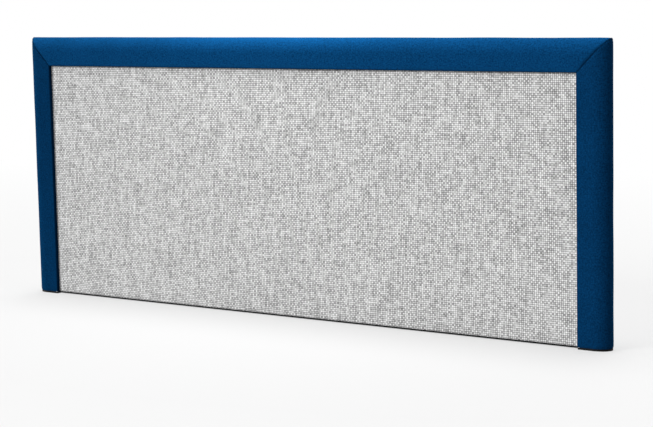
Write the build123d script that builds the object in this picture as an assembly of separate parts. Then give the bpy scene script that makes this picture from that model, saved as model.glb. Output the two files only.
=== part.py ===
"""Desk privacy panel: a fabric-faced centre panel held on three sides by padded, fabric-covered rails.

Frame: origin at the middle of the footprint, on the underside of the two foot caps. +X runs along the
panel, +Y from its front face to its rear face, +Z up. Millimetres.

Rail sections are drawn in (inset, depth): inset runs inward from the outermost edge of the panel, and
depth is +Y. The left upright, the right upright and the top rail share the same section.
"""
from build123d import *
import os

# ---- overall sizes ----
panel_width = 1524.0
panel_height = 609.6
panel_thickness = 46.0      # over the padded rails

# ---- padded rails ----
rail_width = 67.0           # seen from the front
nose_length = 32.0          # how far the rounded outer edge reaches inward
shoulder_radius = 3.0       # inner edge of the rail
frame_step = 8.0            # how far the rails stand proud of the centre panel
cover_thickness = 0.8
tuck_depth = 20.0           # cover turned in between channel and centre panel
foam_clearance = 0.2
strip_width = 5.0           # stiffening batten behind the inner edge of the cover

# ---- aluminium channel inside each rail ----
channel_wall = 2.0
web_inset = 22.0            # outer face of the channel's web
edge_clearance = 1.0        # between web and centre panel
slip = 0.1                  # between pieces that slide together
port_radius = 3.5           # screw port on the web, outside
port_bore = 1.7
port_edge = 2.5             # from the port's outside to the channel's side
port_slit = 1.5
port_rise = 3.0             # port axis outside the web's face

# ---- centre panel ----
fabric_thickness = 0.7
batting_thickness = 1.8
member_width = 40.0         # timber members around the infill board
board_slip = 0.2

# ---- dowels in the corners of the timber frame ----
dowel_radius = 3.0
dowel_length = 60.0
dowel_clearance = 0.05

# ---- foot caps and base trim ----
cap_thickness = 4.0
cap_inset = 1.0             # cap stays inside the cover's outline
trim_thickness = 3.0
trim_lift = 1.5             # trim hangs clear of the desk
trim_end_gap = 0.3

# ---- corner brackets ----
bracket_thickness = 2.5
bracket_side_gap = 1.0      # between bracket and screw ports
bracket_leg = 80.0
bracket_screw_near = 16.0   # inward from the web's outer face
bracket_screw_far = 53.0
pocket_clearance = 0.1

# ---- fasteners ----
frame_screw_radius = 2.0
frame_screw_length = 25.0
frame_screw_head_radius = 4.0
frame_screw_head_height = 2.4
upright_screws = 3
upright_screw_rise = 90.0   # lowest one, above the desk
upright_screw_drop = 160.0  # highest one, below the panel's top
top_screws = 5
top_screw_margin = 202.0    # from the panel's end
bracket_screw_length = 15.0
bracket_screw_head_radius = 3.8
cap_screw_radius = 1.65
cap_screw_length = 19.0
cap_screw_head_radius = 3.4
trim_screw_radius = 1.75
trim_screw_length = 20.0
trim_screw_head_radius = 3.4
trim_screws = 6
trim_screw_margin = 130.0   # from the panel's end
bore_clearance = 0.05
recess_width = 0.9          # cross recess in the screw heads
recess_span = 4.4
recess_depth = 1.2

# ---- threaded inserts, the panel's fixing points ----
insert_bore = 2.5           # M6 minor radius
insert_radius = 5.0
insert_flange_radius = 6.5
flange_gap = 1.0            # between flange and the fabric turned over the core's edges
insert_length = 15.0
insert_pair_spacing = 64.0
insert_pair_inset = 230.0   # middle of each pair from the panel's end
insert_access_radius = 3.5  # hole in the base trim
insert_hole_extra = 2.0     # drilled deeper than the insert

# ---- what follows from them ----
half_width = panel_width / 2
half_thickness = panel_thickness / 2
half_centre = half_thickness - frame_step
half_core = half_centre - fabric_thickness - batting_thickness
fabric_return = half_centre - insert_flange_radius - flange_gap
tuck_face = half_centre + slip
channel_inside = tuck_face + cover_thickness + slip
channel_outside = channel_inside + channel_wall
port_depth = channel_outside - port_edge - port_radius
bracket_width = 2 * (port_depth - port_radius - bracket_side_gap)
dowel_offset = half_core / 2
core_inset = web_inset + channel_wall + edge_clearance
trim_top = trim_lift + trim_thickness
core_bottom = trim_top + fabric_thickness
core_top = panel_height - core_inset
core_half_width = half_width - core_inset
strip_start = rail_width - cover_thickness - slip - strip_width
cover_end = rail_width - cover_thickness

TO_RIGHT = Rot(0, 90, 0)    # turns a screw from pointing up to pointing along +X
TO_LEFT = Rot(0, -90, 0)
TO_DOWN = Rot(180, 0, 0)


# ---- rail sections and the three ways they run ----
def band(low, high, half_depth):
    """Rectangle from one inset to another, symmetric about the middle plane."""
    return Pos((low + high) / 2, 0) * Rectangle(high - low, 2 * half_depth)


def rail_outline(inset):
    """The rail's D-shaped section, drawn inside its outer face by inset."""
    half = half_thickness - inset
    oval = Pos(nose_length, 0) * Ellipse(nose_length - inset, half)
    nose = oval & band(0, nose_length, half_thickness)
    body = nose + band(nose_length, rail_width - inset, half)
    corners = body.vertices().sort_by(Axis.X)[-2:]
    return fillet(corners, shoulder_radius - inset)


def both_sides(low, high, near, far):
    """Two rectangles, in front of and behind the middle plane."""
    middle = (near + far) / 2
    strip = Rectangle(high - low, far - near)
    return [Pos((low + high) / 2, side * middle) * strip for side in (-1, 1)]


def cover_section():
    section = rail_outline(0) - rail_outline(cover_thickness) - band(cover_end, rail_width, tuck_face)
    for lip in both_sides(cover_end - tuck_depth, cover_end, tuck_face, tuck_face + cover_thickness):
        section += lip
    return section


def strip_section():
    outline = rail_outline(cover_thickness + slip)
    pieces = []
    for zone in both_sides(strip_start, rail_width, channel_outside, panel_thickness):
        pieces.append(outline & zone)
    return pieces


def foam_section():
    section = rail_outline(cover_thickness + foam_clearance)
    section -= band(web_inset, rail_width, channel_outside)
    section -= band(strip_start, rail_width, panel_thickness)
    for side in (-1, 1):
        section -= Pos(web_inset - port_rise, side * port_depth) * Circle(port_radius + foam_clearance)
    return section


def channel_section():
    section = band(web_inset, cover_end - slip, channel_outside)
    section -= band(web_inset + channel_wall, rail_width, channel_inside)
    for side in (-1, 1):
        centre = Pos(web_inset - port_rise, side * port_depth)
        section += centre * Circle(port_radius)
        section -= centre * Circle(port_bore)
        section -= centre * Pos(-port_radius, 0) * Rectangle(2 * port_radius, port_slit)
    return section


def prism(points):
    """A block through the whole thickness, from points in (x, z)."""
    return extrude(Plane.XZ * Polygon(*points, align=None), amount=panel_thickness, both=True)


def mitred_rails(sections):
    """{side: solids} for a section run up both ends and across the top, cut at 45 degrees."""
    left_zone = prism([
        (-half_width, 0), (-half_width, panel_height),
        (-half_width + rail_width, panel_height - rail_width), (-half_width + rail_width, 0),
    ])
    top_zone = prism([
        (-half_width, panel_height), (half_width, panel_height),
        (half_width - rail_width, panel_height - rail_width),
        (-half_width + rail_width, panel_height - rail_width),
    ])
    foot = Pos(-half_width, 0, cap_thickness)
    along_top = Plane(origin=(-half_width, 0, panel_height), x_dir=(0, 0, -1), z_dir=(1, 0, 0))
    left = [extrude(foot * s, amount=panel_height - cap_thickness) & left_zone for s in sections]
    top = [extrude(along_top * s, amount=panel_width) & top_zone for s in sections]
    right = [mirror(piece, about=Plane.YZ) for piece in left]
    return {"left": left, "right": right, "top": top}


# ---- fasteners ----
def turned(points):
    """A solid turned about +Z from (radius, height) points."""
    return revolve(Plane.XZ * Polygon(*points, align=None), axis=Axis.Z)


def cross_recess(height):
    bar = Box(recess_span, recess_width, 2 * recess_depth)
    return Pos(0, 0, height) * (bar + Rot(0, 0, 90) * bar)


def countersunk_screw(shank, head, length):
    """Head flush with z = 0, tip at z = length."""
    depth = head - shank
    body = turned([(0, 0), (head, 0), (shank, depth), (shank, length - 2 * shank), (0, length)])
    return body - cross_recess(0)


def countersunk_hole(shank, head, length):
    depth = head - shank
    wide = shank + bore_clearance
    return turned([
        (0, -0.5), (head + bore_clearance, -0.5), (head + bore_clearance, 0),
        (wide, depth), (wide, length - 2 * shank + bore_clearance), (0, length + 2 * bore_clearance),
    ])


def pan_head_screw(shank, head, height, length):
    """Head stands outside z = 0, tip at z = length."""
    body = turned([
        (0, -height), (head * 0.75, -height), (head, -height * 0.6), (head, 0),
        (shank, 0), (shank, length - 2 * shank), (0, length),
    ])
    return body - cross_recess(-height)


def plain_hole(shank, length):
    wide = shank + bore_clearance
    return turned([
        (0, -0.5), (wide, -0.5), (wide, length - 2 * shank + bore_clearance), (0, length + 2 * bore_clearance),
    ])


def spread(first, last, count):
    step = (last - first) / (count - 1)
    return [first + i * step for i in range(count)]


def web_seats():
    """Places on the outer faces of the webs, each pointing into the centre panel."""
    seats = []
    for z in spread(upright_screw_rise, panel_height - upright_screw_drop, upright_screws):
        seats.append(Pos(-half_width + web_inset, 0, z) * TO_RIGHT)
        seats.append(Pos(half_width - web_inset, 0, z) * TO_LEFT)
    for x in spread(-half_width + top_screw_margin, half_width - top_screw_margin, top_screws):
        seats.append(Pos(x, 0, panel_height - web_inset) * TO_DOWN)
    return seats


def bracket_seats():
    """Places on the outer faces of the brackets' legs, each pointing into the centre panel."""
    rise = web_inset - bracket_thickness
    seats = []
    for along in (web_inset + bracket_screw_near, web_inset + bracket_screw_far):
        seats.append(Pos(-half_width + rise, 0, panel_height - along) * TO_RIGHT)
        seats.append(Pos(half_width - rise, 0, panel_height - along) * TO_LEFT)
        seats.append(Pos(-half_width + along, 0, panel_height - rise) * TO_DOWN)
        seats.append(Pos(half_width - along, 0, panel_height - rise) * TO_DOWN)
    return seats


def cap_seats():
    port = half_width - web_inset + port_rise
    return [Pos(x, y, 0) for x in (-port, port) for y in (-port_depth, port_depth)]


def trim_seats():
    first = -half_width + trim_screw_margin
    return [Pos(x, 0, trim_lift) for x in spread(first, -first, trim_screws)]


def insert_places():
    middle = half_width - insert_pair_inset
    offset = insert_pair_spacing / 2
    return [side * middle + shift for side in (-1, 1) for shift in (-offset, offset)]


# ---- centre panel ----
def block(x, y, z):
    """Box between two values on each axis."""
    centre = Pos((x[0] + x[1]) / 2, (y[0] + y[1]) / 2, (z[0] + z[1]) / 2)
    return centre * Box(x[1] - x[0], y[1] - y[0], z[1] - z[0])


def core_members():
    depth = (-half_core, half_core)
    inner = core_half_width - member_width
    across = (-inner, inner)
    return {
        "core_left_stile": block((-core_half_width, -inner), depth, (core_bottom, core_top)),
        "core_right_stile": block((inner, core_half_width), depth, (core_bottom, core_top)),
        "core_bottom_rail": block(across, depth, (core_bottom, core_bottom + member_width)),
        "core_top_rail": block(across, depth, (core_top - member_width, core_top)),
        "infill_board": block(
            (-inner + board_slip, inner - board_slip), depth,
            (core_bottom + member_width + board_slip, core_top - member_width - board_slip),
        ),
    }


def dowels(extra):
    """The eight corner dowels, or with extra the holes they sit in."""
    joint = core_half_width - member_width
    rows = (core_bottom + member_width / 2, core_top - member_width / 2)
    pin = Cylinder(dowel_radius + extra, dowel_length + 2 * extra, rotation=(0, 90, 0))
    return [
        Pos(side * joint, y, z) * pin
        for side in (-1, 1) for y in (-dowel_offset, dowel_offset) for z in rows
    ]


def batting():
    return block(
        (-core_half_width, core_half_width), (-half_core - batting_thickness, -half_core),
        (core_bottom, core_top),
    )


def fabric():
    """A shallow tray: the face and its returns over the edges of the core."""
    back = -half_centre + fabric_return
    outside = block(
        (-core_half_width - fabric_thickness, core_half_width + fabric_thickness), (-half_centre, back),
        (core_bottom - fabric_thickness, core_top + fabric_thickness),
    )
    inside = block(
        (-core_half_width, core_half_width), (-half_centre + fabric_thickness, back + 1),
        (core_bottom, core_top),
    )
    return outside - inside


# ---- foot caps, base trim, brackets and inserts ----
def foot_cap():
    plate = extrude(Pos(-half_width, 0, 0) * rail_outline(cap_inset), amount=cap_thickness)
    for seat in cap_seats()[:2]:
        plate -= seat * countersunk_hole(cap_screw_radius, cap_screw_head_radius, cap_screw_length)
    return plate


def base_trim():
    end = half_width - rail_width - trim_end_gap
    bar = block((-end, end), (-half_centre, half_centre), (trim_lift, trim_top))
    for seat in trim_seats():
        bar -= seat * countersunk_hole(trim_screw_radius, trim_screw_head_radius, trim_screw_length)
    for x in insert_places():
        bar -= Pos(x, 0, trim_lift) * Cylinder(insert_access_radius, 3 * trim_thickness)
    return bar


def bracket(clearance):
    """Angle around the two webs at the left corner, or with clearance its pocket in the foam."""
    outer = web_inset - bracket_thickness - clearance
    leg = bracket_leg + clearance
    depth = (-bracket_width / 2 - clearance, bracket_width / 2 + clearance)
    x = -half_width
    z = panel_height
    upright = block((x + outer, x + web_inset), depth, (z - outer - leg, z - outer))
    across = block((x + outer, x + outer + leg), depth, (z - web_inset, z - outer))
    return upright + across


def insert():
    """Threaded insert, mouth down at the underside of its flange."""
    return turned([
        (insert_bore, 0), (insert_flange_radius, 0), (insert_flange_radius, fabric_thickness),
        (insert_radius, fabric_thickness), (insert_radius, fabric_thickness + insert_length),
        (insert_bore, fabric_thickness + insert_length),
    ])


def cut(shapes, tools):
    return [piece - tools for piece in shapes]


def build():
    """{node name: list of solids}."""
    frame_bores = [s * plain_hole(frame_screw_radius, frame_screw_length) for s in web_seats()]
    bracket_bores = [
        s * countersunk_hole(frame_screw_radius, bracket_screw_head_radius, bracket_screw_length)
        for s in bracket_seats()
    ]
    head_pocket = Pos(0, 0, -frame_screw_head_height / 2 - pocket_clearance) * Cylinder(
        frame_screw_head_radius + pocket_clearance, frame_screw_head_height + 4 * pocket_clearance
    )
    head_pockets = [s * head_pocket for s in web_seats()]
    left_pocket = bracket(pocket_clearance)
    pockets = head_pockets + [left_pocket, mirror(left_pocket, about=Plane.YZ)]

    nodes = {}
    covers = mitred_rails([cover_section()])
    foams = mitred_rails([foam_section()])
    channels = mitred_rails([channel_section()])
    strips = mitred_rails(strip_section())
    for side in ("left", "right", "top"):
        nodes[f"{side}_cover"] = covers[side]
        nodes[f"{side}_foam"] = cut(foams[side], pockets)
        nodes[f"{side}_channel"] = cut(channels[side], frame_bores + bracket_bores)
        nodes[f"{side}_edge_strips"] = strips[side]

    left_bracket = bracket(0)
    angles = [left_bracket, mirror(left_bracket, about=Plane.YZ)]
    nodes["corner_brackets"] = cut(angles, bracket_bores)
    nodes["bracket_screws"] = [
        s * countersunk_screw(frame_screw_radius, bracket_screw_head_radius, bracket_screw_length)
        for s in bracket_seats()
    ]
    nodes["frame_screws"] = [
        s * pan_head_screw(
            frame_screw_radius, frame_screw_head_radius, frame_screw_head_height, frame_screw_length)
        for s in web_seats()
    ]

    trim_bores = [
        s * countersunk_hole(trim_screw_radius, trim_screw_head_radius, trim_screw_length)
        for s in trim_seats()
    ]
    insert_holes = [
        Pos(x, 0, core_bottom) * Cylinder(insert_radius, 2 * (insert_length + insert_hole_extra))
        for x in insert_places()
    ]
    core_tools = frame_bores + bracket_bores + trim_bores + insert_holes + dowels(dowel_clearance)
    for name, member in core_members().items():
        nodes[name] = cut([member], core_tools)
    nodes["core_dowels"] = dowels(0)

    front_batting = batting()
    front_fabric = fabric()
    nodes["front_batting"] = [front_batting]
    nodes["rear_batting"] = [mirror(front_batting, about=Plane.XZ)]
    nodes["front_fabric"] = [front_fabric]
    nodes["rear_fabric"] = [mirror(front_fabric, about=Plane.XZ)]

    left_cap = foot_cap()
    nodes["left_foot_cap"] = [left_cap]
    nodes["right_foot_cap"] = [mirror(left_cap, about=Plane.YZ)]
    nodes["cap_screws"] = [
        s * countersunk_screw(cap_screw_radius, cap_screw_head_radius, cap_screw_length)
        for s in cap_seats()
    ]
    nodes["base_trim"] = [base_trim()]
    nodes["trim_screws"] = [
        s * countersunk_screw(trim_screw_radius, trim_screw_head_radius, trim_screw_length)
        for s in trim_seats()
    ]
    nodes["threaded_inserts"] = [Pos(x, 0, trim_top) * insert() for x in insert_places()]
    return nodes


os.makedirs("parts", exist_ok=True)
for node, shapes in build().items():
    solids = [solid for shape in shapes for solid in shape.solids()]
    export_step(Compound(children=solids), f"parts/{node}.step")
    print(node, len(solids))
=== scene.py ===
"""Desk privacy panel: the looks of its padded rails, stretched fabrics, feet and inner parts.

Metres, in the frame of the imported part: +X along the panel, +Y from front to rear, +Z up, and the
foot caps stand on z = 0. The cloth and foam pieces are made here; the rest gets its finish here.
"""
import math

import bmesh
import bpy
from mathutils import Matrix, Vector, noise


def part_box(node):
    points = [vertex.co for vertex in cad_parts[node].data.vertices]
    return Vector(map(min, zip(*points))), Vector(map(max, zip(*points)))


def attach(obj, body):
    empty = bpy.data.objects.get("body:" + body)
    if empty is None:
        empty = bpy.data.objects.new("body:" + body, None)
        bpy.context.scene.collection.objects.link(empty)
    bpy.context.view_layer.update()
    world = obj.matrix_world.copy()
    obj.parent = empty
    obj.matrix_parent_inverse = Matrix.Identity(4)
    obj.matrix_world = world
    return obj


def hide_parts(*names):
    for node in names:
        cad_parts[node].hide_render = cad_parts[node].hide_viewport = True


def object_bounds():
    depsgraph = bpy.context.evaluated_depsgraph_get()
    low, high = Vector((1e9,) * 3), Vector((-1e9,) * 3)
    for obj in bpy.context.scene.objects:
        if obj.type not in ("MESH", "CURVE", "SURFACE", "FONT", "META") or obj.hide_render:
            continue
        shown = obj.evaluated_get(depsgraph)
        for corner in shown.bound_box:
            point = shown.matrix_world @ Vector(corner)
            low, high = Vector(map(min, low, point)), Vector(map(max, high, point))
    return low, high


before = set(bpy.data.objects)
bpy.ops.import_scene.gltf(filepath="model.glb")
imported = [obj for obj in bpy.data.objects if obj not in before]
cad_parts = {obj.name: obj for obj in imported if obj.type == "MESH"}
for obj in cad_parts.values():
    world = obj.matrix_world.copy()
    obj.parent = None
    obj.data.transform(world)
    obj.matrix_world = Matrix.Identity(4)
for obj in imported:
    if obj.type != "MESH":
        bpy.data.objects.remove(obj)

bl_info = {
    "name": "Desk privacy panel",
    "version": (1, 0, 0),
    "blender": (4, 5, 0),
    "location": "View3D > Sidebar > Desk panel",
    "description": "Builds the covers, fabrics, padding, finishes and studio of a desk privacy panel",
    "category": "Object",
}

CAD_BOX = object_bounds()
PANEL_LOW, PANEL_HIGH = (Vector(corner) for corner in CAD_BOX)
HALF_LENGTH = PANEL_HIGH.x
HEIGHT = PANEL_HIGH.z
HALF_DEPTH = PANEL_HIGH.y
COVER_LOW, COVER_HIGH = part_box("left_cover")
FABRIC_LOW, FABRIC_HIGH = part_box("front_fabric")
WADDING_LOW, WADDING_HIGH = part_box("front_batting")
RAIL_FACE = COVER_HIGH[0] - COVER_LOW[0]
COVER_FOOT = COVER_LOW[2]
FRAME_SIZE = (653, 427)
SENSOR = 36.0


# ---- settings ----
def length(name, description, default):
    return bpy.props.FloatProperty(
        name=name, description=description, default=default, unit="LENGTH", precision=4)


def colour(name, description, default):
    return bpy.props.FloatVectorProperty(
        name=name, description=description, default=default, subtype="COLOR", size=3, min=0, max=1)


def amount(name, description, default):
    return bpy.props.FloatProperty(name=name, description=description, default=default, min=0)


class RailSettings(bpy.types.PropertyGroup):
    nose: length("Nose", "How far the rounded outer edge reaches inward", 0.032)
    shoulder: length("Shoulder", "Radius of the rail's inner edge", 0.003)
    cloth: length("Cloth", "Thickness of the cover", 0.0008)
    tuck: length("Tuck", "Width of the cover turned in beside the centre panel", 0.020)
    tuck_face: length("Tuck face", "Half the gap that the centre panel slides into", 0.0151)
    crown: length("Crown", "How far the padded face swells", 0.0007)
    seam_depth: length("Seam depth", "How far the mitred seam is drawn in", 0.0016)
    seam_width: length("Seam width", "How wide the drawn-in band is", 0.0022)
    uneven: length("Unevenness", "Slow waviness of the padding", 0.0004)
    pitch: length("Yarn pitch", "Distance from yarn to yarn in the cover", 0.0011)
    shade: colour("Shade", "Colour of the covers", (0.0017, 0.034, 0.106))
    # Three gains make lit and shaded copies of one navy. The top gain of 1.28 is painted light: it paints the
    # top cover brighter, as if it caught more light from above. The left gain sets the left cover darker than
    # the right.
    left_tone_and_light: amount("Left tone and light", "Brightness of the left cover", 0.80)
    right_tone_and_light: amount("Right tone and light", "Brightness of the right cover", 0.96)
    top_tone_and_light: amount("Top tone and light", "Brightness of the top cover, raised as painted light", 1.28)
    sheen: amount("Sheen", "Strength of the nap's sheen", 0.25)


class FoamSettings(bpy.types.PropertyGroup):
    gap: length("Gap", "Between foam and cover", 0.0002)
    channel_half: length("Channel", "Half the outside width of the aluminium channel", 0.018)
    web_inset: length("Web", "From the panel's edge to the channel's web", 0.022)
    strip_inset: length("Strip", "From the panel's edge to the stiffening strip", 0.0611)
    port_radius: length("Port", "Radius of the hollow around a screw port", 0.0036)
    port_rise: length("Port rise", "Port centre outside the web", 0.003)
    port_depth: length("Port depth", "Port centre from the middle plane", 0.012)
    shade: colour("Shade", "Colour of the foam", (0.78, 0.72, 0.52))


class PanelSettings(bpy.types.PropertyGroup):
    cloth: length("Cloth", "Thickness of the fabric", 0.0007)
    edge: length("Edge", "Radius where the fabric turns over the core", 0.0018)
    swell: length("Swell", "How far the wadding lifts the fabric", 0.0006)
    pitch: length("Yarn pitch", "Distance from yarn to yarn in the fabric", 0.0043)
    slub: length("Slub", "Length of the thick places in a yarn", 0.045)
    light: colour("Light yarn", "Colour of the pale yarns", (0.90, 0.90, 0.90))
    # The gaps between the yarns get this colour as painted shade.
    dark: colour("Dark yarn", "Colour of the gaps and dark yarns", (0.10, 0.10, 0.10))


class StudioSettings(bpy.types.PropertyGroup):
    floor: colour("Floor", "Colour of the floor", (0.45, 0.45, 0.45))
    bounce: colour("Bounce", "Colour of the floor to the light that it throws back", (0.15, 0.15, 0.15))
    lift: amount("Floor lift", "Share of the floor that looks white whatever its shadow", 0.55)
    sky: amount("Sky", "Strength of the even light from all round", 0.42)
    front: amount("Front light", "Strength of the soft light from the front left", 2.58)
    over: amount("Top light", "Strength of the soft light from above", 3.6)
    rear: amount("Rear light", "Strength of the soft light on the rear, which casts no shadow", 1.3)
    middle: amount("Middle lamp", "Power of the small lamp over the top rail, watts", 3.6)
    eye: bpy.props.FloatVectorProperty(
        name="Camera place", description="Where the camera stands", subtype="XYZ", unit="LENGTH",
        size=3, default=(2.4043, -3.2589, 0.7300))
    turn: bpy.props.FloatProperty(
        name="Camera turn", description="Heading, from +Y towards -X", subtype="ANGLE", default=0.6191)
    tip: bpy.props.FloatProperty(
        name="Camera tip", description="How far it looks down", subtype="ANGLE", default=0.1236)
    roll: bpy.props.FloatProperty(
        name="Camera roll", description="Turn about the line of sight", subtype="ANGLE", default=-0.0206)
    focal: amount("Focal length", "Lens, in millimetres on a 36 mm frame", 103.55)


class PanelKit(bpy.types.PropertyGroup):
    rail: bpy.props.PointerProperty(type=RailSettings)
    foam: bpy.props.PointerProperty(type=FoamSettings)
    panel: bpy.props.PointerProperty(type=PanelSettings)
    studio: bpy.props.PointerProperty(type=StudioSettings)


def kit():
    return bpy.context.scene.desk_panel_kit


# ---- finishes: shader maths as expressions ----
class Link:
    """An output socket. Arithmetic on it adds Math nodes to the finish that it belongs to."""

    def __init__(self, finish, socket):
        self.finish = finish
        self.socket = socket

    def math(self, operation, *values):
        return self.finish.node("ShaderNodeMath", {"operation": operation}, dict(enumerate(values)))

    def __add__(self, other):
        return self.math("ADD", self, other)

    def __sub__(self, other):
        return self.math("SUBTRACT", self, other)

    def __rsub__(self, other):
        return self.math("SUBTRACT", other, self)

    def __mul__(self, other):
        return self.math("MULTIPLY", self, other)

    def __truediv__(self, other):
        return self.math("DIVIDE", self, other)

    def __mod__(self, other):
        return self.math("FLOORED_MODULO", self, other)

    def __pow__(self, other):
        return self.math("POWER", self, other)

    __radd__ = __add__
    __rmul__ = __mul__

    def floor(self):
        return self.math("FLOOR", self)

    def fract(self):
        return self.math("FRACT", self)

    def sin(self):
        return self.math("SINE", self)

    def clamp(self):
        return self.math("MINIMUM", self.math("MAXIMUM", self, 0.0), 1.0)


class Finish:
    """A material being mixed: its nodes and the surface shader they feed."""

    def __init__(self, name, roughness=0.8, metallic=0.0, **constants):
        self.material = bpy.data.materials.new(name)
        self.material.use_nodes = True
        self.tree = self.material.node_tree
        self.tree.nodes.clear()
        self.surface = self.tree.nodes.new("ShaderNodeBsdfPrincipled")
        output = self.tree.nodes.new("ShaderNodeOutputMaterial")
        self.tree.links.new(self.surface.outputs[0], output.inputs["Surface"])
        self.surface.inputs["Roughness"].default_value = roughness
        self.surface.inputs["Metallic"].default_value = metallic
        for socket, value in constants.items():
            self.surface.inputs[socket.replace("_", " ")].default_value = value

    def node(self, kind, settings=None, sockets=None, out=0):
        """Adds a node: its settings first, then the values or links of its sockets."""
        made = self.tree.nodes.new(kind)
        for key, value in (settings or {}).items():
            if key == "stops":
                self.set_stops(made.color_ramp, value)
            else:
                setattr(made, key, value)
        for key, value in (sockets or {}).items():
            if isinstance(value, Link):
                self.tree.links.new(value.socket, made.inputs[key])
            else:
                made.inputs[key].default_value = value
        return Link(self, made.outputs[out])

    @staticmethod
    def set_stops(ramp, stops):
        while len(ramp.elements) < len(stops):
            ramp.elements.new(0.5)
        for element, (place, shade) in zip(ramp.elements, stops):
            element.position = place
            element.color = (*shade, 1.0)

    def feed(self, socket, link):
        self.tree.links.new(link.socket, self.surface.inputs[socket])

    def blend(self, factor, low, high):
        """Colour between low and high."""
        low, high = (c if isinstance(c, Link) else (*c, 1.0) for c in (low, high))
        return self.node(
            "ShaderNodeMix", {"data_type": "RGBA"}, {0: factor, 6: low, 7: high}, out=2)

    def place(self):
        """The three coordinates of a point on the object, in metres."""
        point = self.node("ShaderNodeTexCoord", out="Object")
        return self.split(point)

    def thread_lines(self):
        """Distances along and around a piece of cloth, and from its seam, in metres."""
        lines = self.node("ShaderNodeAttribute", {"attribute_name": "lay"}, out="Vector")
        return self.split(lines)

    def split(self, vector):
        parts = self.tree.nodes.new("ShaderNodeSeparateXYZ")
        self.tree.links.new(vector.socket, parts.inputs[0])
        return [Link(self, socket) for socket in parts.outputs]

    def vector(self, x, y, z=0.0):
        return self.node("ShaderNodeCombineXYZ", None, {0: x, 1: y, 2: z})

    def cloud(self, where, scale, detail=2.0, roughness=0.5):
        """Smooth noise around 0.5."""
        return self.node(
            "ShaderNodeTexNoise", None,
            {"Vector": where, "Scale": scale, "Detail": detail, "Roughness": roughness})

    def grains(self, where):
        """A value of its own for each whole-number place."""
        return self.node("ShaderNodeTexWhiteNoise", None, {"Vector": where})

    def cells(self, where, scale, feature="F1"):
        return self.node(
            "ShaderNodeTexVoronoi", {"feature": feature}, {"Vector": where, "Scale": scale},
            out="Distance")

    def relief(self, height, distance, strength=1.0):
        bump = self.node(
            "ShaderNodeBump", None, {"Strength": strength, "Distance": distance, "Height": height})
        self.feed("Normal", bump)


def plain_weave(finish, along, across, pitch, slub):
    """Height of a plain weave and the tones of its yarns, each around 0.5."""
    u = along / pitch
    v = across / pitch
    column, row = u.floor(), v.floor()
    hill_u = (u.fract() * math.pi).sin()
    hill_v = (v.fract() * math.pi).sin()
    upright_on_top = (column + row) % 2.0
    upright = hill_u * (hill_v * 0.4 + 0.6)
    level = hill_v * (hill_u * 0.4 + 0.6)
    height = level + (upright - level) * upright_on_top
    level_tone = finish.cloud(finish.vector(along / slub, row * 7.31), 1.0, 1.0)
    upright_tone = finish.cloud(finish.vector(column * 7.31, across / slub, 3.7), 1.0, 1.0)
    tone = level_tone + (upright_tone - level_tone) * upright_on_top
    return height, tone, level_tone, upright_tone, upright_on_top


def rail_cloth(name, tone_and_light_gain):
    rail = kit().rail
    # Painted light: this gain makes a brighter or darker copy of the navy for each cover, and the top cover's
    # copy is painted lighter as if lit from above.
    shade_here = [c * tone_and_light_gain for c in rail.shade]
    finish = Finish(
        name, 0.85, Specular_IOR_Level=0.0, Sheen_Weight=rail.sheen,
        Sheen_Roughness=0.35, Sheen_Tint=(0.06, 0.42, 0.85, 1.0))
    along, around, seam = finish.thread_lines()
    height, tone, *_ = plain_weave(finish, along, around, rail.pitch, 0.009)
    x, y, z = finish.place()
    wear = finish.cloud(finish.vector(x, y, z), 14.0, 3.0, 0.55)
    nap = finish.cloud(finish.vector(along, around), 300.0, 2.0, 0.6)
    shade = (tone - 0.5) * 1.5 + (wear - 0.5) * 0.35 + (nap - 0.5) * 1.9 + 0.5
    dark = tuple(c * 0.55 for c in shade_here)
    bright = tuple(c * 1.45 for c in shade_here)
    body = finish.blend(shade.clamp(), dark, bright)
    # Painted shade: the cover's colour is drawn towards near black along the mitred seams and the fold at its
    # inner edge, where shade falls.
    painted_crease_shade = 1.0 - (seam / 0.0028).clamp()
    finish.feed("Base Color", finish.blend(painted_crease_shade * 0.72, body, tuple(c * 0.12 for c in shade_here)))
    finish.feed("Roughness", (0.9 - height * 0.12).clamp())
    finish.relief(height * 0.8 + nap * 0.5, 0.00022, 0.7)
    return finish.material


def panel_cloth():
    panel = kit().panel
    finish = Finish("grey_linen_cloth", 0.95, Specular_IOR_Level=0.1)
    along, across, _ = finish.thread_lines()
    height, tone, level, upright, on_top = plain_weave(finish, along, across, panel.pitch, panel.slub)
    spot = finish.grains(finish.vector((along / panel.pitch).floor(), (across / panel.pitch).floor()))
    slow = finish.cloud(finish.vector(along, across), 9.0, 2.0, 0.5)
    fibre = finish.cloud(finish.vector(along, across), 1500.0, 3.0, 0.7)
    streak = level * 0.3 + upright * 0.7
    # Painted shade and light: the height term darkens the gaps between the yarns, where shade falls, and the
    # on_top term paints the crossings of the upright yarns lighter than the level ones, as their slopes take
    # the light. The other terms are the yarns' own tones.
    shade = (
        (height - 0.55) * 1.0 + (on_top - 0.5) * 0.26 + (spot - 0.5) * 0.42 + (tone - 0.5) * 0.3
        + (streak - 0.5) * 0.55 + (slow - 0.5) * 0.08 + (fibre - 0.5) * 0.3 + 0.53)
    finish.feed("Base Color", finish.blend(shade.clamp(), panel.dark, panel.light))
    finish.feed("Roughness", (1.0 - height * 0.1).clamp())
    finish.relief(height + tone * 0.6, 0.0004, 0.6)
    return finish.material


def foam_finish():
    foam = kit().foam
    finish = Finish("cut_foam", 0.95, Specular_IOR_Level=0.1)
    where = finish.node("ShaderNodeTexCoord", out="Object")
    pores = finish.cells(where, 900.0)
    slow = finish.cloud(where, 30.0)
    low = tuple(c * 0.55 for c in foam.shade)
    finish.feed("Base Color", finish.blend((pores * 0.8 + slow * 0.5).clamp(), low, foam.shade))
    finish.relief(pores, 0.0006)
    return finish.material


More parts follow.
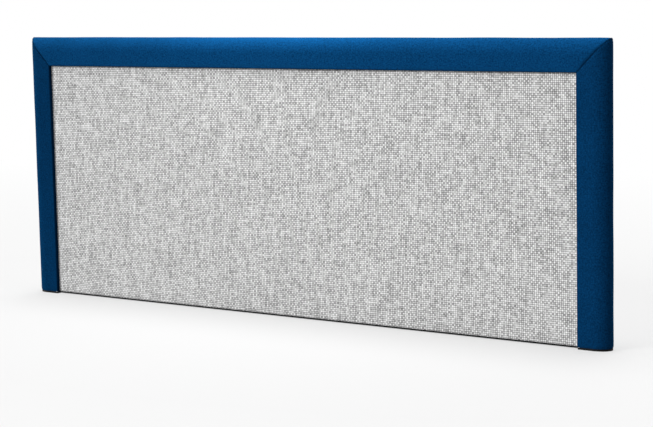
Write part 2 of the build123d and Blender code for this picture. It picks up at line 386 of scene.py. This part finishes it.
def wadding_finish():
    finish = Finish("white_wadding", 0.98, Specular_IOR_Level=0.05)
    where = finish.node("ShaderNodeTexCoord", out="Object")
    fluff = finish.cloud(where, 160.0, 6.0, 0.7)
    finish.feed("Base Color", finish.blend(fluff, (0.70, 0.70, 0.68), (0.92, 0.92, 0.91)))
    finish.relief(fluff, 0.0012)
    return finish.material


def moulded_black():
    finish = Finish("moulded_black_plastic", 0.6, Specular_IOR_Level=0.1)
    where = finish.node("ShaderNodeTexCoord", out="Object")
    grain = finish.cloud(where, 1400.0, 2.0, 0.6)
    scuffs = finish.cloud(where, 60.0, 4.0, 0.65)
    bright = finish.node(
        "ShaderNodeValToRGB", {"stops": [(0.62, (0.0, 0.0, 0.0)), (0.72, (1.0, 1.0, 1.0))]}, {0: scuffs})
    body = finish.blend(grain, (0.0025, 0.0027, 0.003), (0.006, 0.0065, 0.007))
    finish.feed("Base Color", finish.blend(bright, body, (0.012, 0.012, 0.013)))
    finish.feed("Roughness", grain * 0.2 + 0.45)
    finish.relief(grain, 0.00012)
    return finish.material


def brushed(name, low, high, roughness, lengthwise):
    """Metal with fine drawn lines along the piece."""
    finish = Finish(name, roughness, 1.0)
    x, y, z = finish.place()
    if lengthwise == "x":
        lines = finish.vector(x * 6.0, y * 900.0, z * 900.0)
    else:
        lines = finish.vector(x * 900.0, y * 900.0, z * 6.0)
    drawn = finish.cloud(lines, 1.0, 3.0, 0.6)
    finish.feed("Base Color", finish.blend(drawn, low, high))
    finish.feed("Roughness", drawn * 0.25 + (roughness - 0.12))
    finish.relief(drawn, 0.00004, 0.6)
    return finish.material


def plated_steel():
    finish = Finish("zinc_plated_steel", 0.35, 1.0)
    where = finish.node("ShaderNodeTexCoord", out="Object")
    spangle = finish.cells(where, 220.0)
    bloom = finish.cloud(where, 90.0, 3.0, 0.6)
    finish.feed("Base Color", finish.blend((spangle * 0.7 + bloom * 0.5).clamp(), (0.42, 0.44, 0.47), (0.72, 0.73, 0.74)))
    finish.feed("Roughness", bloom * 0.3 + 0.2)
    finish.relief(bloom, 0.00005)
    return finish.material


def black_steel():
    finish = Finish("blackened_steel", 0.4, 0.8)
    where = finish.node("ShaderNodeTexCoord", out="Object")
    bloom = finish.cloud(where, 300.0, 3.0, 0.6)
    finish.feed("Base Color", finish.blend(bloom, (0.012, 0.012, 0.013), (0.04, 0.04, 0.043)))
    finish.feed("Roughness", bloom * 0.3 + 0.25)
    finish.relief(bloom, 0.00005)
    return finish.material


def turned_brass():
    finish = Finish("turned_brass", 0.3, 1.0)
    x, y, z = finish.place()
    rings = ((z * 9000.0).sin() * 0.5 + 0.5)
    tarnish = finish.cloud(finish.vector(x, y, z), 140.0, 3.0, 0.6)
    finish.feed("Base Color", finish.blend(tarnish, (0.42, 0.28, 0.09), (0.78, 0.58, 0.26)))
    finish.feed("Roughness", tarnish * 0.25 + 0.18)
    finish.relief(rings, 0.00005)
    return finish.material


def sawn_wood(name, low, high, lengthwise):
    """Planed wood with its grain along the piece."""
    finish = Finish(name, 0.7, Specular_IOR_Level=0.3)
    x, y, z = finish.place()
    if lengthwise == "x":
        x, z = z, x
    bend = finish.cloud(finish.vector(x, y, z * 0.15), 14.0, 2.0, 0.5)
    rings = ((x * 900.0 + y * 260.0 + bend * 26.0).sin() * 0.5 + 0.5) ** 1.6
    fibre = finish.cloud(finish.vector(x * 700.0, y * 700.0, z * 12.0), 1.0, 3.0, 0.6)
    finish.feed("Base Color", finish.blend((rings * 0.65 + fibre * 0.35).clamp(), high, low))
    finish.feed("Roughness", fibre * 0.2 + 0.6)
    finish.relief(fibre + rings * 0.4, 0.0002)
    return finish.material


def pressed_board():
    finish = Finish("pressed_fibreboard", 0.9, Specular_IOR_Level=0.15)
    where = finish.node("ShaderNodeTexCoord", out="Object")
    fibre = finish.cloud(where, 380.0, 5.0, 0.7)
    flecks = finish.cells(where, 500.0)
    finish.feed("Base Color", finish.blend((fibre * 0.8 + flecks * 0.3).clamp(), (0.30, 0.21, 0.12), (0.58, 0.46, 0.30)))
    finish.relief(fibre, 0.0005)
    return finish.material


def strip_plastic():
    finish = Finish("grey_strip_plastic", 0.6)
    x, y, z = finish.place()
    drawn = finish.cloud(finish.vector(x * 60.0, y * 700.0, z * 60.0), 1.0, 3.0, 0.6)
    finish.feed("Base Color", finish.blend(drawn, (0.44, 0.44, 0.42), (0.62, 0.62, 0.60)))
    finish.feed("Roughness", drawn * 0.2 + 0.5)
    finish.relief(drawn, 0.0001)
    return finish.material


# ---- pieces of cloth and foam ----
class Run:
    """One of the three rails: where a point (inset, depth, along) lies, and where the rail ends."""

    def __init__(self, side):
        self.side = side

    def ends(self, inset):
        if self.side == "top":
            return inset - HALF_LENGTH, HALF_LENGTH - inset
        return COVER_FOOT, HEIGHT - inset

    def point(self, inset, depth, along):
        if self.side == "left":
            return Vector((inset - HALF_LENGTH, depth, along))
        if self.side == "right":
            return Vector((HALF_LENGTH - inset, depth, along))
        return Vector((along, depth, HEIGHT - inset))


def arc(centre, radii, start, stop, steps):
    """Points on an elliptical arc with their outward directions, angles in quarter turns."""
    made = []
    for i in range(steps + 1):
        angle = (start + (stop - start) * i / steps) * math.pi / 2
        c, s = math.cos(angle), math.sin(angle)
        out = Vector((c * radii[1], s * radii[0])).normalized()
        made.append((centre[0] + radii[0] * c, centre[1] + radii[1] * s, out.x, out.y))
    return made


def straight(start, stop, steps, out):
    return [
        (start[0] + (stop[0] - start[0]) * i / steps, start[1] + (stop[1] - start[1]) * i / steps, *out)
        for i in range(steps + 1)
    ]


def rounded_outline(inset, inner_edge):
    """The D-shaped front half of a rail's section, from its inner edge to the nose tip.

    Points are (inset, depth, outward inset, outward depth), drawn inside the outer face by inset.
    """
    rail = kit().rail
    depth = HALF_DEPTH - inset
    radius = max(rail.shoulder - inset, 0.0004)
    face_end = inner_edge - radius
    points = arc((face_end, radius - depth), (radius, radius), 0.0, -1.0, 6)
    points += straight((face_end, -depth), (rail.nose, -depth), 8, (0.0, -1.0))[1:]
    points += arc((rail.nose, 0.0), (rail.nose - inset, depth), -1.0, -2.0, 18)[1:]
    return points


def both_halves(front):
    """A front half outline continued round the rear half."""
    rear = [(s, -d, ns, -nd) for s, d, ns, nd in reversed(front[:-1])]
    return front + rear


def cover_section():
    """Closed outline of the cover: outer face, tucked lips and inner face."""
    rail = kit().rail
    edge = RAIL_FACE
    lip = edge - rail.cloth - rail.tuck
    outer = straight((lip, -rail.tuck_face), (edge, -rail.tuck_face), 4, (0.0, 0.0))
    outer += straight((edge, -rail.tuck_face), (edge, rail.shoulder - HALF_DEPTH), 3, (0.0, 0.0))[1:]
    outer += rounded_outline(0.0, edge)[1:]
    inner_edge = edge - rail.cloth
    inner_face = rail.tuck_face + rail.cloth
    inner = straight((lip, -inner_face), (inner_edge, -inner_face), 4, (0.0, 0.0))
    inner += rounded_outline(rail.cloth, inner_edge)
    return both_halves(outer) + list(reversed(both_halves(inner)))


def foam_section():
    """Closed outline of the foam: inside of the cover, then around the channel and its ports."""
    rail, foam = kit().rail, kit().foam
    gap = rail.cloth + foam.gap
    edge = foam.strip_inset
    outer = straight((edge, -foam.channel_half), (edge, gap - HALF_DEPTH), 2, (0.0, 0.0))
    outer += rounded_outline(gap, edge + rail.shoulder - gap)[6:]
    web = foam.web_inset
    centre = (web - foam.port_rise, foam.port_depth)
    reach = math.sqrt(foam.port_radius ** 2 - foam.port_rise ** 2)
    start = 1 - math.acos(foam.port_rise / foam.port_radius) / (math.pi / 2)
    hollow = arc(centre, (foam.port_radius, foam.port_radius), 0.35, 3.65, 12)
    inside = [(web, foam.channel_half, 0.0, 0.0)]
    inside += [(min(s, web), d, 0.0, 0.0) for s, d, _, _ in hollow]
    front = [(s, -d, 0.0, 0.0) for s, d, _, _ in reversed(inside)]
    return both_halves(outer) + inside + front


def stations(low, high, step, fine):
    """Fractions of a length, closely spaced near its ends."""
    span = high - low
    near = [d for d in fine if d < span / 3]
    inner = span - 2 * near[-1]
    count = max(2, round(inner / step))
    places = near + [near[-1] + inner * i / count for i in range(1, count)]
    places += [span - d for d in reversed(near)]
    return [p / span for p in places]


def padding(run, inset, along, point):
    """Outward movement of a rail's surface: slack, unevenness, drawn-in seams and hem."""
    rail = kit().rail
    low, high = run.ends(inset)
    to_seam = (high - along) / math.sqrt(2)
    to_foot = along - low
    if run.side == "top":
        to_seam = min(to_seam, to_foot / math.sqrt(2))
        to_foot = 1.0
    rise = min(1.0, to_seam / 0.018) * min(1.0, to_foot / 0.006)
    slow = noise.noise(point * 9.0) * rail.uneven + noise.noise(point * 30.0) * rail.uneven * 0.35
    from_strip = max(0.0, min(1.0, (kit().foam.strip_inset - inset) / 0.004))
    pucker = math.sin(inset * 700.0) * 0.00018 * math.exp(-to_seam / 0.010)
    seam = from_strip * rail.seam_depth * math.exp(-((to_seam / rail.seam_width) ** 1.5))
    hem = 0.0012 * math.exp(-to_foot / 0.0016)
    crown = rail.crown * math.sin(math.pi * min(1.0, inset / RAIL_FACE)) ** 0.7
    return (crown + slow) * rise + pucker - seam - hem


def seam_distance(run, inset, along):
    """Distance to the mitred seam or, if nearer, to the fold at the rail's inner edge, where the cover's
    shade is painted.
    """
    low, high = run.ends(inset)
    nearest = high - along
    if run.side == "top":
        nearest = min(nearest, along - low)
    return min(nearest / math.sqrt(2), abs(RAIL_FACE - inset))


def new_piece(name, mesh_data, finish):
    """An object on the panel's body, with its finish and its place in the record."""
    piece = bpy.data.objects.new(name, mesh_data)
    bpy.context.scene.collection.objects.link(piece)
    mesh_data.materials.append(finish)
    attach(piece, "root")
    return piece


def closed_mesh(name, points, faces, lay):
    """A mesh from points and faces, outward facing and smooth, with its thread lines."""
    mesh = bpy.data.meshes.new(name)
    mesh.from_pydata(points, [], faces)
    attribute = mesh.attributes.new("lay", "FLOAT_VECTOR", "POINT")
    attribute.data.foreach_set("vector", [c for place in lay for c in place])
    shape = bmesh.new()
    shape.from_mesh(mesh)
    bmesh.ops.recalc_face_normals(shape, faces=shape.faces)
    shape.to_mesh(mesh)
    shape.free()
    mesh.shade_smooth()
    mesh.set_sharp_from_angle(angle=math.radians(50))
    return mesh


def swept_rail(name, side, section, step=0.008):
    """A closed section run along one rail, its ends on the mitres or on the foot cap."""
    run = Run(side)
    fine = (0.0, 0.0006, 0.0014, 0.0024, 0.0038, 0.0058, 0.0085, 0.012, 0.017)
    low, high = run.ends(0.0)
    fractions = stations(low, high, step, fine)
    around = [0.0]
    for before, after in zip(section, section[1:]):
        around.append(around[-1] + math.dist(before[:2], after[:2]))
    points, lay = [], []
    for fraction in fractions:
        for (inset, depth, out_inset, out_depth), girth in zip(section, around):
            low, high = run.ends(inset)
            along = low + (high - low) * fraction
            place = run.point(inset, depth, along)
            if out_inset or out_depth:
                move = padding(run, inset, along, place)
                place = run.point(inset + out_inset * move, depth + out_depth * move, along)
            points.append(place)
            lay.append((along, girth, seam_distance(run, inset, along)))
    count = len(section)
    faces = [tuple(range(count)), tuple(range(len(points) - count, len(points)))]
    for ring in range(len(fractions) - 1):
        base = ring * count
        for i in range(count):
            j = (i + 1) % count
            faces.append((base + i, base + j, base + count + j, base + count + i))
    return closed_mesh(name, points, faces, lay)


def fold(distance, half, radius):
    """A cloth distance from the middle as (place across the face, depth below the face)."""
    flat = half - radius
    past = abs(distance) - flat
    sign = math.copysign(1.0, distance)
    if past <= 0:
        return distance, 0.0
    quarter = radius * math.pi / 2
    if past <= quarter:
        angle = past / radius
        return sign * (flat + radius * math.sin(angle)), radius * (1 - math.cos(angle))
    return sign * half, radius + past - quarter


def ruled(half, radius, turn, step):
    """Cloth distances across one width: even on the face, close on the bend, then the turn-in."""
    flat = half - radius
    count = round(2 * flat / step)
    inner = [-flat + 2 * flat * i / count for i in range(count + 1)]
    quarter = radius * math.pi / 2
    bend = [flat + quarter * i / 5 for i in range(1, 6)]
    edge = [flat + quarter + (turn - radius) * i / 3 for i in range(1, 4)] if turn > radius else []
    outer = bend + edge
    return [-d for d in reversed(outer)] + inner + outer


def stretched_cloth(name, low, high, side, thickness, turn, swell, radius):
    """Cloth over the face of the core and turned over its edges, cut out at the corners.

    side is -1 for the front and 1 for the rear. Returns the closed mesh, flat size and flat area.
    """
    centre = (Vector(low) + Vector(high)) / 2
    half_x = (high[0] - low[0]) / 2
    half_z = (high[2] - low[2]) / 2
    across = ruled(half_x, radius, turn, 0.009)
    upward = ruled(half_z, radius, turn, 0.009)
    face = side * max(abs(low[1]), abs(high[1]))
    index, points, lay = {}, [], []
    limit_x = half_x - radius + radius * math.pi / 2
    limit_z = half_z - radius + radius * math.pi / 2
    for i, a in enumerate(across):
        for j, b in enumerate(upward):
            if abs(a) > limit_x + 1e-7 and abs(b) > limit_z + 1e-7:
                continue
            x, drop_x = fold(a, half_x, radius)
            z, drop_z = fold(b, half_z, radius)
            inside = min((RAIL_FACE_INNER_X - abs(x)) / 0.02, (TOP_EDGE - (centre.z + z)) / 0.02)
            rise = max(0.0, min(1.0, inside)) * max(0.0, min(1.0, (centre.z + z - low[2]) / 0.012))
            wave = noise.noise(Vector((x * 6.0, side, z * 8.0))) * 0.35
            lift = swell * rise * (0.65 + wave)
            index[i, j] = len(points)
            points.append(Vector((x, face + side * (lift - drop_x - drop_z), centre.z + z)))
            lay.append((a, b, 1.0))
    faces = []
    for i in range(len(across) - 1):
        for j in range(len(upward) - 1):
            corners = [index.get(c) for c in ((i, j), (i + 1, j), (i + 1, j + 1), (i, j + 1))]
            if None not in corners:
                faces.append(tuple(corners))
    mesh = bpy.data.meshes.new(name)
    mesh.from_pydata(points, [], faces)
    attribute = mesh.attributes.new("lay", "FLOAT_VECTOR", "POINT")
    attribute.data.foreach_set("vector", [c for place in lay for c in place])
    thick = thickened(mesh, thickness, side)
    flat = (across[-1] - across[0], upward[-1] - upward[0])
    area = flat[0] * flat[1] - 4 * (across[-1] - limit_x) * (upward[-1] - limit_z)
    return thick, flat, area


def thickened(mesh, thickness, side):
    """The mesh given a thickness behind its face."""
    shape = bmesh.new()
    shape.from_mesh(mesh)
    bmesh.ops.recalc_face_normals(shape, faces=shape.faces)
    middle = min(shape.faces, key=lambda f: f.calc_center_median().xz.length)
    if middle.normal.y * side < 0:
        bmesh.ops.reverse_faces(shape, faces=shape.faces)
    shape.to_mesh(mesh)
    shape.free()
    piece = bpy.data.objects.new(mesh.name, mesh)
    bpy.context.scene.collection.objects.link(piece)
    solid = piece.modifiers.new("thickness", "SOLIDIFY")
    solid.thickness = thickness
    solid.offset = -1.0
    made = bpy.data.meshes.new_from_object(piece.evaluated_get(bpy.context.evaluated_depsgraph_get()))
    bpy.data.objects.remove(piece)
    made.name = mesh.name + "_thick"
    made.shade_smooth()
    made.set_sharp_from_angle(angle=math.radians(50))
    return made


RAIL_FACE_INNER_X = HALF_LENGTH - RAIL_FACE
TOP_EDGE = HEIGHT - RAIL_FACE


# ---- operators ----
class BuildStep:
    bl_options = {"REGISTER", "UNDO"}


class DESKPANEL_OT_rail_covers(BuildStep, bpy.types.Operator):
    """Sew the padded navy covers of the two uprights and the top rail"""
    bl_idname = "desk_panel.rail_covers"
    bl_label = "Rail covers"

    def execute(self, context):
        section = cover_section()
        for side in ("left", "right", "top"):
            # Each cover gets its own copy of the navy scaled by its gain; the top copy's extra brightness is
            # painted light.
            cloth = rail_cloth(f"navy_{side}_cloth", getattr(kit().rail, f"{side}_tone_and_light"))
            mesh = swept_rail(f"{side}_rail_cover", side, section)
            piece = new_piece(f"{side}_rail_cover", mesh, cloth)
            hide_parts(f"{side}_cover")
        return {"FINISHED"}


class DESKPANEL_OT_rail_foam(BuildStep, bpy.types.Operator):
    """Cut the foam that fills the three rails"""
    bl_idname = "desk_panel.rail_foam"
    bl_label = "Rail foam"

    def execute(self, context):
        foam = foam_finish()
        section = foam_section()
        for side in ("left", "right", "top"):
            mesh = swept_rail(f"{side}_rail_foam", side, section, step=0.02)
            piece = new_piece(f"{side}_rail_foam", mesh, foam)
            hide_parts(f"{side}_foam")
        return {"FINISHED"}


class DESKPANEL_OT_panel_fabrics(BuildStep, bpy.types.Operator):
    """Stretch the grey fabric over both faces of the centre panel"""
    bl_idname = "desk_panel.panel_fabrics"
    bl_label = "Panel fabrics"

    def execute(self, context):
        panel = kit().panel
        cloth = panel_cloth()
        turn = FABRIC_HIGH[1] - FABRIC_LOW[1]
        for side, name in ((-1, "front"), (1, "rear")):
            low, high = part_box(f"{name}_fabric")
            mesh, flat, area = stretched_cloth(
                f"{name}_panel_fabric", low, high, side, panel.cloth, turn, panel.swell, panel.edge)
            piece = new_piece(f"{name}_panel_fabric", mesh, cloth)
            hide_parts(f"{name}_fabric")
        return {"FINISHED"}


class DESKPANEL_OT_panel_wadding(BuildStep, bpy.types.Operator):
    """Lay the wadding between the fabric and the core"""
    bl_idname = "desk_panel.panel_wadding"
    bl_label = "Panel wadding"

    def execute(self, context):
        panel = kit().panel
        fluff = wadding_finish()
        for side, name in ((-1, "front"), (1, "rear")):
            low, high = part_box(f"{name}_batting")
            depth = high[1] - low[1]
            mesh, _, _ = stretched_cloth(
                f"{name}_panel_wadding", low, high, side, depth * 0.92, 0.0, panel.swell, depth * 0.4)
            piece = new_piece(f"{name}_panel_wadding", mesh, fluff)
            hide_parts(f"{name}_batting")
        return {"FINISHED"}


class DESKPANEL_OT_fittings(BuildStep, bpy.types.Operator):
    """Give the feet, base trim, fasteners, channels and timber their finishes"""
    bl_idname = "desk_panel.fittings"
    bl_label = "Fittings"

    def execute(self, context):
        black = moulded_black()
        steel = plated_steel()
        upright_metal = brushed("drawn_aluminium_upright", (0.50, 0.51, 0.52), (0.74, 0.75, 0.76), 0.38, "z")
        level_metal = brushed("drawn_aluminium_level", (0.50, 0.51, 0.52), (0.74, 0.75, 0.76), 0.38, "x")
        pine = ((0.34, 0.20, 0.09), (0.66, 0.47, 0.27))
        beech = ((0.42, 0.25, 0.13), (0.66, 0.47, 0.30))
        upright_pine = sawn_wood("planed_pine_upright", *pine, "z")
        level_pine = sawn_wood("planed_pine_level", *pine, "x")
        strip = strip_plastic()
        finishes = {
            "left_foot_cap": black, "right_foot_cap": black, "base_trim": black,
            "cap_screws": black_steel(), "trim_screws": black_steel(),
            "threaded_inserts": turned_brass(),
            "left_channel": upright_metal, "right_channel": upright_metal, "top_channel": level_metal,
            "corner_brackets": steel, "bracket_screws": steel, "frame_screws": steel,
            "core_left_stile": upright_pine, "core_right_stile": upright_pine,
            "core_top_rail": level_pine, "core_bottom_rail": level_pine,
            "core_dowels": sawn_wood("beech_dowel", *beech, "x"),
            "infill_board": pressed_board(),
            "left_edge_strips": strip, "right_edge_strips": strip, "top_edge_strips": strip,
        }
        for name, finish in finishes.items():
            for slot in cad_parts[name].material_slots:
                slot.material = finish
        return {"FINISHED"}


def seen_directly(tree):
    """A socket that is 1 for the camera, reflections and what shows through glass."""
    path = tree.nodes.new("ShaderNodeLightPath")
    seen = path.outputs["Is Camera Ray"]
    for other in ("Is Glossy Ray", "Is Transmission Ray"):
        either = tree.nodes.new("ShaderNodeMath")
        either.operation = "MAXIMUM"
        tree.links.new(seen, either.inputs[0])
        tree.links.new(path.outputs[other], either.inputs[1])
        seen = either.outputs[0]
    return seen


def studio_floor():
    """A pale floor that takes the shadow but stays close to white."""
    studio = kit().studio
    finish = Finish("studio_floor", 0.9, Specular_IOR_Level=0.0)
    x, y, z = finish.place()
    slow = finish.cloud(finish.vector(x, y, z), 0.6)
    low = tuple(c * 0.99 for c in studio.floor)
    tree = finish.tree
    seen = Link(finish, seen_directly(tree))
    pale = finish.blend(slow, low, tuple(studio.floor))
    finish.feed("Base Color", finish.blend(seen, tuple(studio.bounce), pale))
    away = ((x * x * 0.35 + y * y) ** 0.5 - 0.8) / 2.2
    far = away.clamp() ** 0.8
    glow_shade = finish.blend(far, (0.955, 0.955, 0.955), (1.0, 1.0, 1.0))
    glow = finish.node("ShaderNodeEmission", None, {"Color": glow_shade})
    mix = tree.nodes.new("ShaderNodeMixShader")
    share = seen * (studio.lift + far * (1.0 - studio.lift))
    tree.links.new(share.socket, mix.inputs[0])
    tree.links.new(finish.surface.outputs[0], mix.inputs[1])
    tree.links.new(glow.socket, mix.inputs[2])
    output = next(node for node in tree.nodes if node.type == "OUTPUT_MATERIAL")
    tree.links.new(mix.outputs[0], output.inputs["Surface"])
    return finish.material


def small_lamp(name, power, size, place, target):
    """A square lamp at a place, turned towards a target."""
    data = bpy.data.lights.new(name, "AREA")
    data.size = size
    data.energy = power
    made = bpy.data.objects.new(name, data)
    made.location = place
    made.rotation_euler = (Vector(target) - Vector(place)).to_track_quat("-Z", "Y").to_euler()
    bpy.context.scene.collection.objects.link(made)


def soft_light(name, strength, spread, toward, shadow=True):
    """An even distant light that shines along toward, softened over an angle of spread degrees."""
    data = bpy.data.lights.new(name, "SUN")
    data.energy = strength
    data.use_shadow = shadow
    data.angle = math.radians(spread)
    made = bpy.data.objects.new(name, data)
    made.rotation_euler = Vector(toward).to_track_quat("-Z", "Y").to_euler()
    bpy.context.scene.collection.objects.link(made)


def white_to_the_eye(sky):
    """A world that lights evenly and looks white."""
    world = bpy.data.worlds.new("studio")
    world.use_nodes = True
    tree = world.node_tree
    tree.nodes.clear()
    even = tree.nodes.new("ShaderNodeBackground")
    even.inputs["Strength"].default_value = sky
    white = tree.nodes.new("ShaderNodeBackground")
    for background in (even, white):
        background.inputs["Color"].default_value = (1.0, 1.0, 1.0, 1.0)
    mix = tree.nodes.new("ShaderNodeMixShader")
    out = tree.nodes.new("ShaderNodeOutputWorld")
    tree.links.new(seen_directly(tree), mix.inputs[0])
    tree.links.new(even.outputs[0], mix.inputs[1])
    tree.links.new(white.outputs[0], mix.inputs[2])
    tree.links.new(mix.outputs[0], out.inputs["Surface"])
    bpy.context.scene.world = world


class DESKPANEL_OT_studio(BuildStep, bpy.types.Operator):
    """Set up the floor, the lamps and the camera"""
    bl_idname = "desk_panel.studio"
    bl_label = "Studio"

    def execute(self, context):
        studio = kit().studio
        mesh = bpy.data.meshes.new("studio_floor")
        far = 14.0
        mesh.from_pydata([(-far, -far, 0), (far, -far, 0), (far, far, 0), (-far, far, 0)], [], [(0, 1, 2, 3)])
        mesh.materials.append(studio_floor())
        floor = bpy.data.objects.new("studio_floor", mesh)
        bpy.context.scene.collection.objects.link(floor)
        soft_light("front_light", studio.front, 35.0, (0.55, 0.80, -0.40))
        soft_light("top_light", studio.over, 35.0, (0.10, -0.12, -1.0))
        soft_light("rear_light", studio.rear, 35.0, (0.30, -0.88, -0.36), shadow=False)
        small_lamp("middle_lamp", studio.middle, 0.35, (-0.05, -0.06, HEIGHT + 0.40), (-0.05, 0.0, HEIGHT))
        white_to_the_eye(studio.sky)
        data = bpy.data.cameras.new("camera")
        data.sensor_width = SENSOR
        data.lens = studio.focal
        data.clip_end = 100.0
        camera = bpy.data.objects.new("camera", data)
        turn = Matrix.Rotation(studio.turn, 4, "Z")
        tip = Matrix.Rotation(math.pi / 2 - studio.tip, 4, "X")
        roll = Matrix.Rotation(studio.roll, 4, "Z")
        camera.matrix_world = Matrix.Translation(studio.eye) @ turn @ tip @ roll
        bpy.context.scene.collection.objects.link(camera)
        bpy.context.scene.camera = camera
        bpy.context.scene.view_settings.view_transform = "Standard"
        return {"FINISHED"}


STEPS = (
    DESKPANEL_OT_studio, DESKPANEL_OT_rail_covers, DESKPANEL_OT_rail_foam,
    DESKPANEL_OT_panel_wadding, DESKPANEL_OT_panel_fabrics, DESKPANEL_OT_fittings,
)


class DESKPANEL_PT_kit(bpy.types.Panel):
    """Lists the steps and their settings in the 3D view's sidebar"""
    bl_idname = "DESKPANEL_PT_kit"
    bl_label = "Desk panel"
    bl_space_type = "VIEW_3D"
    bl_region_type = "UI"
    bl_category = "Desk panel"

    def draw(self, context):
        for step in STEPS:
            self.layout.operator(step.bl_idname)
        for group in ("rail", "foam", "panel", "studio"):
            box = self.layout.box()
            settings = getattr(kit(), group)
            for name in settings.bl_rna.properties.keys():
                if name not in ("rna_type", "name"):
                    box.prop(settings, name)


CLASSES = (RailSettings, FoamSettings, PanelSettings, StudioSettings, PanelKit, *STEPS, DESKPANEL_PT_kit)


def register():
    for made in CLASSES:
        bpy.utils.register_class(made)
    bpy.types.Scene.desk_panel_kit = bpy.props.PointerProperty(type=PanelKit)


def unregister():
    del bpy.types.Scene.desk_panel_kit
    for made in reversed(CLASSES):
        bpy.utils.unregister_class(made)


def main():
    register()
    for step in STEPS:
        family, action = step.bl_idname.split(".")
        getattr(getattr(bpy.ops, family), action)()


if __name__ == "__main__":
    main()
